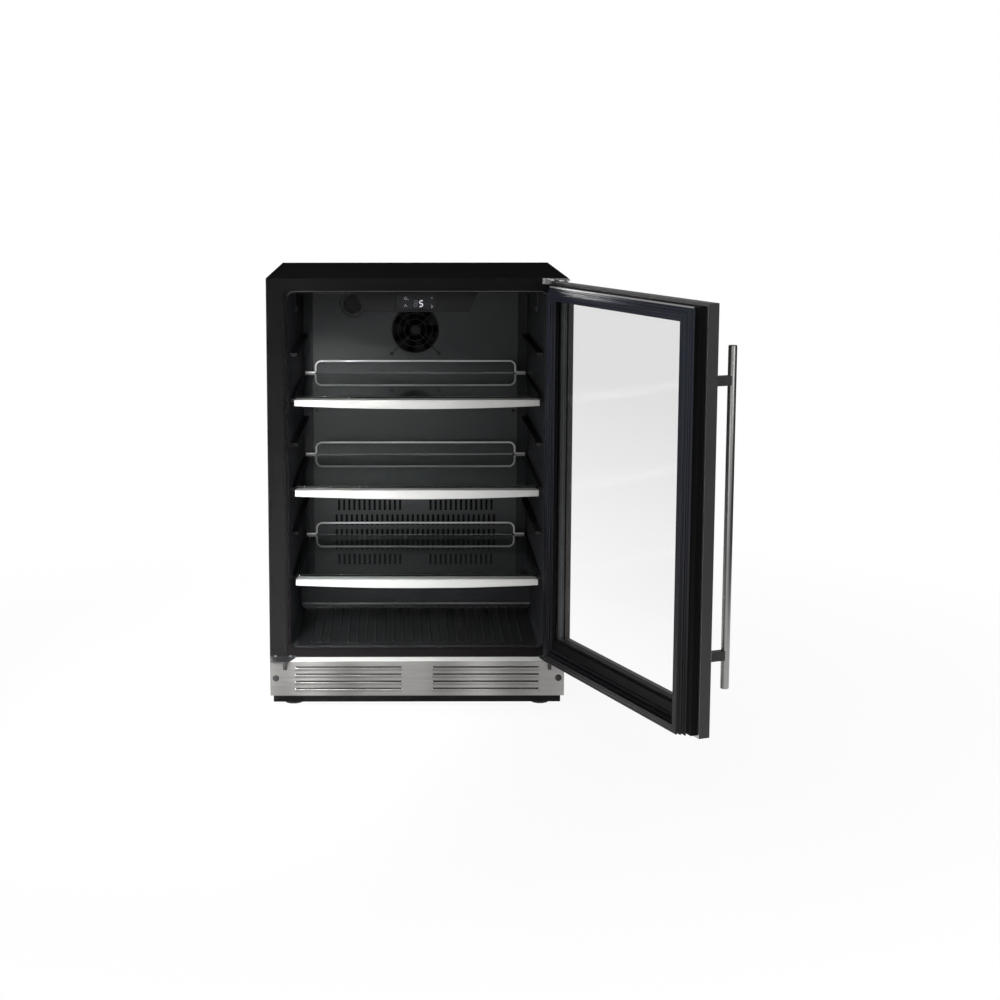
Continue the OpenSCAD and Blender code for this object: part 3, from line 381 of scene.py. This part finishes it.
foot_plastic = finish("black_foot_plastic", {}, moulded(
    (0.010, 0.010, 0.011), (0.018, 0.018, 0.019), rough=0.55))
for corner in ("fl", "fr", "rl", "rr"):
    eased("foot_" + corner, "foot_pad_" + corner, 0.0004, "foot_black", foot_plastic)


# ---------------------------------------------------------------- back of the cabinet
# Painted sheet panel, and under it a slotted steel cover over the machine compartment.
# Zinc-plated screws hold both, and a rubber gland lines the hole for the supply lead.

back_coat = finish("black_back_paint", {"Specular IOR Level": 0.25}, moulded(
    (0.012, 0.012, 0.0125), (0.020, 0.020, 0.0205), rough=0.5, size=0.0011))
eased("rear_panel", "back_sheet", 0.0003, "black_steel", back_coat)
eased("machine_cover", "machine_cover_sheet", 0.0003, "black_steel", back_coat)
eased("cover_screws", "cover_screw_heads", 0.0003, "screw_steel", zinc)
rubber = finish("black_rubber", {"Specular IOR Level": 0.3}, moulded(
    (0.010, 0.010, 0.010), (0.020, 0.020, 0.020), rough=0.75))
eased("mains_gland", "lead_gland", 0.0005, "rubber_black", rubber)
eased("compressor_mounts", "rubber_mounts", 0.0004, "rubber_black", rubber)


# ---------------------------------------------------------------- machinery
# Behind the cover: a black enamelled compressor on rubber mounts, a painted tube
# condenser with its fan, a moulded melt-water tray and the electronics box.

enamel = finish("black_enamel", {}, moulded(
    (0.008, 0.008, 0.009), (0.014, 0.014, 0.015), rough=0.3, size=0.002, depth=0.00004))
eased("compressor", "compressor_shell", 0.0005, "compressor_black", enamel)
tube_paint = finish("condenser_paint", {}, moulded(
    (0.020, 0.018, 0.016), (0.034, 0.030, 0.027), rough=0.5))
dress("condenser_coil", tube_paint)
tray_plastic = finish("grey_tray_plastic", {}, moulded(
    (0.070, 0.075, 0.080), (0.095, 0.100, 0.105), rough=0.5))
eased("drip_tray", "melt_water_tray", 0.0006, "tray_grey", tray_plastic)
eased("control_box", "electronics_box", 0.0012, "tray_grey", tray_plastic)
copper = finish("drawn_copper", {"Metallic": 1.0}, moulded(
    (0.42, 0.17, 0.08), (0.66, 0.30, 0.16), rough=0.32, size=0.004, depth=0.00002))
eased("discharge_tube", "copper_tube", 0.0002, "copper", copper)
foam = finish("foamed_insulation", {}, moulded(
    (0.52, 0.42, 0.22), (0.72, 0.62, 0.38), rough=0.9, size=0.0015, depth=0.0003))
dress("insulation", foam)


# ---------------------------------------------------------------- fans and evaporator
# Two square-framed axial fans moulded in black plastic, one in front of the condenser and
# one behind the food compartment, over an evaporator of aluminium tube and fins.

fan_plastic = finish("black_fan_plastic", {"IOR": 1.05}, moulded(
    (0.004, 0.004, 0.004), (0.007, 0.007, 0.007), rough=0.6))
for node in ("evaporator_fan", "condenser_fan"):
    eased(node + "_frame", node + "_housing", 0.0005, "fan_black", fan_plastic)
    eased(node + "_rotor", node + "_blades", 0.0003, "fan_black", fan_plastic)
guard_plastic = finish("guard_plastic", {"IOR": 1.3}, moulded(
    (0.016, 0.016, 0.016), (0.026, 0.026, 0.026), rough=0.5))
eased("fan_guard", "fan_grille", 0.0002, "fan_black", guard_plastic)
# Painted shade: the finned aluminium is made dark for the shade in the recess behind the fan.
fin_metal = finish("finned_aluminium", {"Metallic": 1.0}, moulded(
    (0.10, 0.10, 0.10), (0.16, 0.16, 0.16), rough=0.5, size=0.002, depth=0.00003))
dress("evaporator_coil", fin_metal)


# ---------------------------------------------------------------- food compartment
# Tub vacuum-formed from dark grey sheet with a fine satin skin, a ribbed floor panel and
# moulded ledges; the flat panel over the evaporator is screwed to its back.

def satin_sheet(dark, light, marks):
    """Grey moulded sheet, black with painted shade wherever marks(x, y, z) comes to 1."""
    def changing(place):
        surface = moulded(dark, light, rough=0.48, size=0.0011)(place)
        shadow = marks(*axes(place)).clamped()
        surface["Base Color"] = shades(shadow, surface["Base Color"], (0.004, 0.004, 0.004))
        return surface
    return changing


def beyond(value, limit, blur=0.0006):
    """Rises from 0 to 1 as value passes limit."""
    return ((value - limit) / blur).clamped()


RECESS, COVER_EDGE, LIP_FROM = 0.2275, 0.2284, 0.1375
# Painted shade: the liner is black behind the depth RECESS, in the recess behind the air panel.
liner_plastic = finish("dark_grey_liner", {"IOR": 1.22}, satin_sheet(
    (0.025, 0.026, 0.029), (0.038, 0.040, 0.043), lambda x, y, z: beyond(y, RECESS)))
eased("inner_liner", "liner_tub", 0.0012, "liner_grey", liner_plastic)
ledge_plastic = finish("ledge_plastic", {"Specular IOR Level": 0.15}, moulded(
    (0.008, 0.008, 0.009), (0.013, 0.013, 0.014), rough=0.5))
eased("shelf_ledges", "ledge_bars", 0.0012, "liner_grey", ledge_plastic)
floor_plastic = finish("ribbed_floor_plastic", {"Specular IOR Level": 0.45}, moulded(
    (0.008, 0.008, 0.0085), (0.014, 0.0145, 0.015), rough=0.32, size=0.0010))
ribbed = eased("liner_floor", "ribbed_floor", 0.0006, "panel_grey", floor_plastic)
# Painted highlight: the floor panel's upward faces above LIP_FROM, along its lip, are near white.
lip_painted_highlight = finish("floor_lip_painted_highlight", {"Specular IOR Level": 0.5}, moulded(
    (0.82, 0.82, 0.81), (0.92, 0.92, 0.91), rough=0.35))
repaint(ribbed, lip_painted_highlight, lambda centre, normal:
        normal.z > FACING and centre.z > LIP_FROM)
# Painted shade: the air panel is black at its side edges, beyond COVER_EDGE, for the shade in its
# joint with the liner.
panel_plastic = finish("dark_grey_panel", {"Specular IOR Level": 0.35}, satin_sheet(
    (0.046, 0.050, 0.052), (0.062, 0.067, 0.069),
    lambda x, y, z: beyond(abs(x), COVER_EDGE)))
eased("evaporator_cover", "air_panel", 0.0004, "panel_grey", panel_plastic)
eased("panel_screws", "panel_screw_heads", 0.0003, "screw_steel", blackened)


CAP_X, CAP_Z = -0.139, 0.786
GRID_R, GROOVE_IN, GROOVE_OUT = 0.0185, 0.0264, 0.0298


def rings(x, y, z):
    """Painted shade in the groove round the filter cap's rim, and a lesser painted shade over its
    grid.
    """
    across, up = x - CAP_X, z - CAP_Z
    reach = (across * across + up * up) ** 0.5
    groove = beyond(reach, GROOVE_IN) * (1 - beyond(reach, GROOVE_OUT))
    return groove + 0.6 * (1 - beyond(reach, GRID_R))


# Painted shade in the filter cap's groove and grid.
cap_plastic = finish("filter_cap_plastic", {"Specular IOR Level": 0.3}, satin_sheet(
    (0.034, 0.036, 0.038), (0.046, 0.049, 0.051), rings))
eased("filter_cap", "filter_cover", 0.0004, "panel_grey", cap_plastic)


# ---------------------------------------------------------------- front frame
# Black-brown extruded plastic between the steel flanges and the tub. A groove round the
# mouth holds a narrow dark strip over the heater wire, painted lighter grey at its top and
# on its sill as a highlight.

frame_plastic = finish("black_brown_plastic", {"IOR": 1.05}, moulded(
    (0.0052, 0.0045, 0.0047), (0.0088, 0.0076, 0.0080), rough=0.6))
mouth_frame = eased("front_frame", "mouth_frame", 0.0004, "frame_plastic", frame_plastic)
FRONT, MOUTH_TOP, SILL = -0.2725, 0.840, 0.122
STRIP_NEAR, STRIP_FAR = FRONT + 0.0004, FRONT + 0.002


def strip_tone(place):
    """Dark strip at the sides of the mouth; painted highlight makes it lighter grey at its top
    and on its sill.
    """
    height = axes(place)[2]
    surface = moulded((0.005, 0.0045, 0.0045), (0.008, 0.0072, 0.0072), rough=0.5)(place)
    sill = 0.55 * (1 - beyond(height, SILL, 0.003))
    strip_highlight = (beyond(height, MOUTH_TOP, 0.004) + sill).clamped()
    surface["Base Color"] = shades(strip_highlight, surface["Base Color"], (0.12, 0.12, 0.12))
    return surface


# Painted highlight: the strip is lighter grey on the mouth's ceiling and on its sill.
strip_plastic = finish("strip_plastic_painted_highlight", {"IOR": 1.05}, strip_tone)
repaint(mouth_frame, strip_plastic, lambda centre, normal:
        normal.y < -FACING and STRIP_NEAR < centre.y < STRIP_FAR)
repaint(mouth_frame, strip_plastic, lambda centre, normal:
        normal.z < -FACING and centre.z > MOUTH_TOP - 0.04)


# ---------------------------------------------------------------- controls
# Housing moulded in panel grey, with a gloss black window over a two-figure display and
# touch marks. The left figure is off; a faint painted glow shows it as a grey shape in the
# window.

case_plastic = finish("control_case_plastic", {"IOR": 1.15}, moulded(
    (0.013, 0.0135, 0.014), (0.020, 0.0205, 0.021), rough=0.45))
eased("control_housing", "control_case", 0.0010, "panel_grey", case_plastic)
window = finish("display_window", {"IOR": 1.2}, moulded(
    (0.0125, 0.013, 0.015), (0.018, 0.019, 0.022), rough=0.3, size=0.003, depth=0.00001))
eased("display_panel", "display_window_plate", 0.0003, "display_black", window)


MARK_FACE, MARK_BACK = -0.21562, -0.21545


def strokes(name, lines, half, material, points=True):
    """Thin bars on the display's window, each from one (x, z) point to another and twice
    half wide. Bars with points end in a tip, as the segments of a figure do."""
    work = bmesh.new()
    for start, end in lines:
        start, end = Vector(start), Vector(end)
        along = (end - start).normalized()
        side = Vector((-along.y, along.x)) * half
        tip = along * half if points else along * 0.0
        outline = [start, start + tip + side, end - tip + side, end, end - tip - side,
                   start + tip - side]
        if not points:
            outline = [start + side, end + side, end - side, start - side]
        near = [work.verts.new((spot.x, MARK_FACE, spot.y)) for spot in outline]
        far = [work.verts.new((spot.x, MARK_BACK, spot.y)) for spot in outline]
        work.faces.new(near)
        work.faces.new(far[::-1])
        for k in range(len(outline)):
            after = (k + 1) % len(outline)
            work.faces.new((near[k], far[k], far[after], near[after]))
    bmesh.ops.recalc_face_normals(work, faces=work.faces)
    mesh = bpy.data.meshes.new(name)
    work.to_mesh(mesh)
    work.free()
    piece(name, mesh, "cabinet", "display_black", material)


def figure(left, low, wide, high, shown):
    """The segments named in shown, of a slanting seven-segment figure."""
    lean, gap = 0.0016, 0.06
    def spot(u, v):
        return left + u * (wide - lean) + v * lean, low + v * high
    parts = {
        "top": ((0, 1), (1, 1)), "middle": ((0, 0.5), (1, 0.5)), "bottom": ((0, 0), (1, 0)),
        "upper_left": ((0, 0.5), (0, 1)), "upper_right": ((1, 0.5), (1, 1)),
        "lower_left": ((0, 0), (0, 0.5)), "lower_right": ((1, 0), (1, 0.5)),
    }
    chosen = []
    for name in shown:
        (u0, v0), (u1, v1) = parts[name]
        du, dv = (u1 - u0) * gap, (v1 - v0) * gap
        chosen.append((spot(u0 + du, v0 + dv), spot(u1 - du, v1 - dv)))
    return chosen


def glowing(name, dark, light):
    """Light that shines through printed plastic. The off figure uses it too, where the glow is
    painted light.
    """
    steady = {"Roughness": 0.4, "Emission Strength": 1.0, "Specular IOR Level": 0.1}
    return finish(name, steady, lambda place: {
        "Base Color": shades(grain(place, 0.002), (0.02, 0.02, 0.02), (0.03, 0.03, 0.03)),
        "Emission Color": shades(grain(place, 0.004), dark, light),
    })


lit = glowing("lit_segments", (0.72, 0.78, 0.86), (0.95, 0.97, 1.0))
# Painted glow: the off figure emits a faint grey light though nothing in it is lit.
off_figure_painted_glow = glowing("unlit_segments_painted_glow", (0.07, 0.075, 0.08), (0.11, 0.115, 0.12))
marks = glowing("printed_marks", (0.24, 0.25, 0.26), (0.36, 0.37, 0.38))
FIGURE_Z, FIGURE_HIGH = 0.8146, 0.0116
five = ("top", "upper_left", "middle", "lower_right", "bottom")
eight = ("top", "middle", "bottom", "upper_left", "upper_right", "lower_left", "lower_right")
strokes("right_figure", figure(0.0046, FIGURE_Z, 0.0078, FIGURE_HIGH, five), 0.00095, lit)
strokes("left_figure", figure(-0.0056, FIGURE_Z, 0.0070, FIGURE_HIGH, eight), 0.0007, off_figure_painted_glow)
BULB_X, BULB_Z, BULB_R = -0.0228, 0.8308, 0.0026
bulb = [(BULB_X + BULB_R * math.cos(turn), BULB_Z + BULB_R * math.sin(turn))
        for turn in [math.radians(45 * k) for k in range(9)]]
bulb_stem = ((-0.0200, 0.8300), (-0.0166, 0.8280))
strokes("lamp_mark", [*zip(bulb, bulb[1:]), bulb_stem], 0.0004, marks, points=False)
left_foot, peak, right_foot = (-0.0258, 0.8140), (-0.0228, 0.8184), (-0.0198, 0.8140)
strokes("up_mark", [(left_foot, peak), (peak, right_foot)], 0.00045, marks, points=False)
dash = ((0.0282, 0.8317), (0.0316, 0.8317))
upper, point, lower = (0.0284, 0.8172), (0.0316, 0.8144), (0.0284, 0.8116)
strokes("key_marks", [dash, (upper, point), (point, lower)], 0.0005, marks, points=False)


# ---------------------------------------------------------------- lamps
# Two round knobs of milky plastic high on the side walls, over the lamps. Each is moulded
# in one with the strip that hides its lead.

milky = finish("milky_plastic", {"Specular IOR Level": 0.4}, moulded(
    (0.030, 0.032, 0.035), (0.060, 0.064, 0.068), rough=0.35))
eased("side_lights", "lamp_knobs", 0.0008, "lamp_white", milky)


# ---------------------------------------------------------------- shelves
# Toughened glass plates on a folded trim of satin anodised aluminium, with a plated
# stop wire bent up along the rear edge, painted near white as a highlight.

plate_glass = finish("shelf_glass", {"Transmission Weight": 1.0, "IOR": 1.5, "Roughness": 0.0},
                     lambda place: {"Base Color": shades(
                         grain(place, 0.2), (0.80, 0.88, 0.85), (0.86, 0.92, 0.90))})
anodised = finish("anodised_trim", {"Metallic": 0.6, "Specular IOR Level": 0.3}, brushed(
    (0.42, 0.42, 0.41), (0.58, 0.58, 0.565), ALONG_X, rough=0.42))
# Painted highlight: the stop wire is near white and hardly metallic, for the plating's glints.
wire_painted_highlight = finish("plated_wire_painted_highlight", {"Metallic": 0.15}, moulded(
    (0.90, 0.90, 0.90), (0.98, 0.98, 0.98), rough=0.18, size=0.003, depth=0.00002))
for number in "123":
    eased("shelf_glass_" + number, "glass_plate_" + number, 0.0005, "shelf_glass", plate_glass)
    eased("shelf_trim_" + number, "front_trim_" + number, 0.0004, "trim_steel", anodised)
    eased("shelf_guard_" + number, "stop_wire_" + number, 0.0001, "wire_steel", wire_painted_highlight)


# ---------------------------------------------------------------- hinges
# Pressed steel brackets: a zinc-plated one on the top flange and two dark coated ones
# under the door, one of them spare for a door hung on the other side.

dark_plate = finish("dark_coated_plate", {"Metallic": 0.3}, moulded(
    (0.018, 0.018, 0.020), (0.034, 0.034, 0.037), rough=0.5))
bright_plate = finish("bright_plate", {"Metallic": 1.0}, moulded(
    (0.36, 0.36, 0.36), (0.58, 0.58, 0.58), rough=0.36, size=0.0008, depth=0.00002))
eased("upper_hinge_bracket", "top_hinge", 0.0004, "bracket_bright", bright_plate)
eased("lower_hinge_bracket", "bottom_hinge", 0.0004, "bracket_steel", dark_plate)
eased("spare_hinge_bracket", "spare_hinge", 0.0004, "bracket_steel", dark_plate)
eased("hinge_screws", "hinge_screw_heads", 0.0002, "screw_steel", zinc)
nylon = finish("natural_nylon", {}, moulded(
    (0.60, 0.58, 0.52), (0.72, 0.70, 0.64), rough=0.45))
eased("door_bushes", "nylon_bushes", 0.0003, "bush_white", nylon)


# ---------------------------------------------------------------- door
# Brushed stainless frame folded over a black plastic inner frame. Its returned edges are
# given a dark brown-grey that is painted shade, for steel that faces away from the light.

hinge = next(joint for joint in frame["joints"] if joint["name"] == "door_hinge")
pin = Vector(hinge["pos_m"])
swing = Matrix.Rotation(math.radians(-hinge["range_deg"][0]), 3, "Z")
free_way, inner_way = swing @ Vector((-1, 0, 0)), swing @ Vector((0, 1, 0))


def hung(x, y, z):
    """A place on the closed door, moved to where the open door holds it."""
    return pin + swing @ (Vector((x, y, z)) - pin)


door_steel = finish("brushed_door_steel", {"Metallic": 1.0}, brushed(
    (0.36, 0.35, 0.34), (0.62, 0.61, 0.60), ALONG_Z, rough=0.38))
# Painted shade: a dark brown-grey for the door's returned edges and the handle posts' sides.
edge_steel_painted_shade = finish("door_edge_painted_shade", {"Metallic": 0.35, "Specular IOR Level": 0.2}, moulded(
    (0.048, 0.045, 0.045), (0.088, 0.084, 0.084), rough=0.55, size=0.0012, depth=0.00003))
steel_frame = eased("door_frame", "steel_door_frame", 0.0008, "door_steel", door_steel)


def on_edge(centre, normal):
    """Faces that look to the door's free side or to its hinge side."""
    return abs(normal.dot(free_way)) > 0.8


# Painted shade on the door's free and hinge edges.
repaint(steel_frame, edge_steel_painted_shade, on_edge)
door_plastic = finish("black_door_plastic", {"Specular IOR Level": 0.06}, moulded(
    (0.0030, 0.0030, 0.0032), (0.0055, 0.0055, 0.0058), rough=0.45))
eased("door_inner_frame", "plastic_door_frame", 0.0012, "door_plastic", door_plastic)


# ---------------------------------------------------------------- door gasket
# Extruded blue-grey vinyl, mitred and welded at the corners: two folded bellows carry a
# flat strip with the magnet in it. The outer flank leans; its root at the top is painted pale
# as a highlight, and painted shade darkens the vinyl towards the foot of the door.

DEPTH, REACH_IN = 0.0137, 0.013
LEAN = REACH_IN / DEPTH
bellows = [(0.0000, 0.0), (0.0012, 0.0), (0.0020, 0.0008), (0.0026, 0.0020), (0.0034, 0.0026),
           (0.0044, 0.0026), (0.0052, 0.0020), (0.0058, 0.0009), (0.0066, 0.0003),
           (0.0076, 0.0003), (0.0084, 0.0009), (0.0090, 0.0017), (0.0098, 0.0021),
           (0.0106, 0.0017), (0.0111, 0.0008), (0.0118, 0.0001), (0.0130, 0.0000),
           (0.0135, 0.0004), (DEPTH, 0.0012)]
crown = [(0.12, DEPTH), (0.20, 0.0132), (0.26, 0.0132), (0.34, DEPTH), (0.66, DEPTH),
         (0.74, 0.0132), (0.80, 0.0132), (0.88, DEPTH)]
profile = [(out, 0.0, inset) for out, inset in bellows]
profile += [(out, share, 0.0012) for share, out in crown]
profile += [(out, 1.0, inset) for out, inset in bellows[::-1]]


def inwards(out, share, inset, wide, lean_outside, lean_inside):
    """How far a point of the profile lies inside the gasket's outer edge."""
    outer, inner = lean_outside * out + inset, wide - lean_inside * out - inset
    return outer + share * (inner - outer)


SIDE, BOTTOM, TOP, DOOR_BACK = 0.276, 0.1225, 0.863, FRONT - 0.014
SIDE_WIDE, BOTTOM_WIDE, ROOT_WIDE = 0.026, 0.027, 0.0027
work = bmesh.new()
loops = []
for out, share, inset in profile:
    side = inwards(out, share, inset, SIDE_WIDE, LEAN, 0.0)
    low = inwards(out, share, inset, BOTTOM_WIDE, 0.0, LEAN)
    x, bottom, top = SIDE - side, BOTTOM + low, TOP - side
    corners = [(-x, bottom), (x, bottom), (x, top), (-x, top)]
    loops.append([work.verts.new(hung(u, DOOR_BACK + out, v)) for u, v in corners])
for near, far in zip(loops, loops[1:] + loops[:1]):
    for k in range(4):
        work.faces.new((near[k], near[k - 1], far[k - 1], far[k]))
bmesh.ops.recalc_face_normals(work, faces=work.faces)
gasket_mesh = bpy.data.meshes.new("magnet_gasket")
work.to_mesh(gasket_mesh)
work.free()
gasket_mesh.shade_smooth()
gasket_mesh.set_sharp_from_angle(angle=math.radians(55))


def vinyl(place):
    """Blue-grey vinyl, with painted shade that darkens it towards the foot of the door."""
    surface = moulded((0.020, 0.023, 0.034), (0.030, 0.034, 0.050), rough=0.42)(place)
    # Painted shade: darker from 0.75 m down to 0.25 m.
    foot_shade = ((0.75 - axes(place)[2]) / 0.5).clamped()
    surface["Base Color"] = shades(foot_shade, surface["Base Color"], (0.0025, 0.0027, 0.0042))
    return surface


gasket_vinyl = finish("blue_grey_vinyl", {"Specular IOR Level": 0.30}, vinyl)
gasket = piece("magnet_gasket", gasket_mesh, "door", "gasket_grey", gasket_vinyl, "door_gasket")
# Painted highlight: pale vinyl on the upward faces at the top rail's outer root.
root_painted_highlight = finish("vinyl_root_painted_highlight", {"Specular IOR Level": 0.4}, moulded(
    (0.30, 0.30, 0.30), (0.42, 0.42, 0.42), rough=0.4))
repaint(gasket, root_painted_highlight, lambda centre, normal:
        centre.z > TOP - ROOT_WIDE and normal.z > 0.2)


# ---------------------------------------------------------------- door glass
# Two panes of float glass, tinted a little by the coating on them; the tint weakens
# towards the foot of the door as painted light. A perforated aluminium spacer between
# their edges holds the drying agent.

pane_glass = finish("float_glass", {
    "Transmission Weight": 1.0,
    "IOR": 1.5,
    "Roughness": 0.0,
    "Specular Tint": (0.2, 0.2, 0.2, 1),
}, lambda place: {"Base Color": shades(
    grain(place, 0.3), (0.10, 0.12, 0.08), (0.12, 0.14, 0.10))})
tree = pane_glass.node_tree
place = Wire(tree).node("ShaderNodeTexCoord", out="Object")
# Painted light: the panes' tint weakens from 0.70 m down to 0.20 m, so they look brighter towards
# the foot.
COAT, FADE_FROM, FADE_OVER = 0.075, 0.70, 0.50
painted_light_clearing = (1 - COAT) + COAT * ((FADE_FROM - axes(place)[2]) / FADE_OVER).clamped()
bare = place.node("ShaderNodeBsdfTransparent", {}, {"Color": (1, 1, 1, 1)})
coated = Wire(tree, tree.nodes["Principled BSDF"].outputs[0])
mixed = place.node("ShaderNodeMixShader", {}, {0: painted_light_clearing, 1: coated, 2: bare})
tree.links.new(mixed.socket, tree.nodes["Material Output"].inputs["Surface"])
eased("outer_glass", "outer_pane", 0.0005, "glass_clear", pane_glass)
eased("inner_glass", "inner_pane", 0.0005, "glass_clear", pane_glass)


SPACER_Y = FRONT - 0.024


def perforated(place):
    """Two rows of small bright holes along the spacer's bar."""
    surface = moulded((0.030, 0.032, 0.034), (0.055, 0.058, 0.060), rough=0.4)(place)
    pitch, aside, reach = 0.0025, 0.0042, 0.0005
    into = place.node("ShaderNodeVectorMath", {"operation": "DOT_PRODUCT"},
                      {0: place, 1: tuple(inner_way)}, out="Value")
    middle = hung(0, SPACER_Y, 0).dot(inner_way)
    rows = 1 - beyond(abs(abs(into - middle) - aside), reach, 0.0003)
    beat = (axes(place)[2] * (2 * math.pi / pitch)).sine()
    surface["Base Color"] = shades(rows * beyond(beat, 0.1, 0.5), surface["Base Color"],
                                   (0.26, 0.27, 0.28))
    return surface


spacer_metal = finish("perforated_spacer", {"Metallic": 0.4}, perforated)
dress("glass_spacer", spacer_metal)


# ---------------------------------------------------------------- handle
# Round bar of brushed stainless tube, seated in the hollowed ends of two flat-sided
# posts that stand off the door.

handle_steel = finish("brushed_handle_steel", {"Metallic": 1.0}, brushed(
    (0.24, 0.24, 0.235), (0.44, 0.44, 0.43), ALONG_Z, rough=0.34))
eased("handle_bar", "handle_tube", 0.0004, "handle_steel", handle_steel)
posts = eased("handle_posts", "handle_mounts", 0.0006, "handle_steel", handle_steel)
# Painted shade on the posts' flat sides, as on the door's edges.
repaint(posts, edge_steel_painted_shade, on_edge)
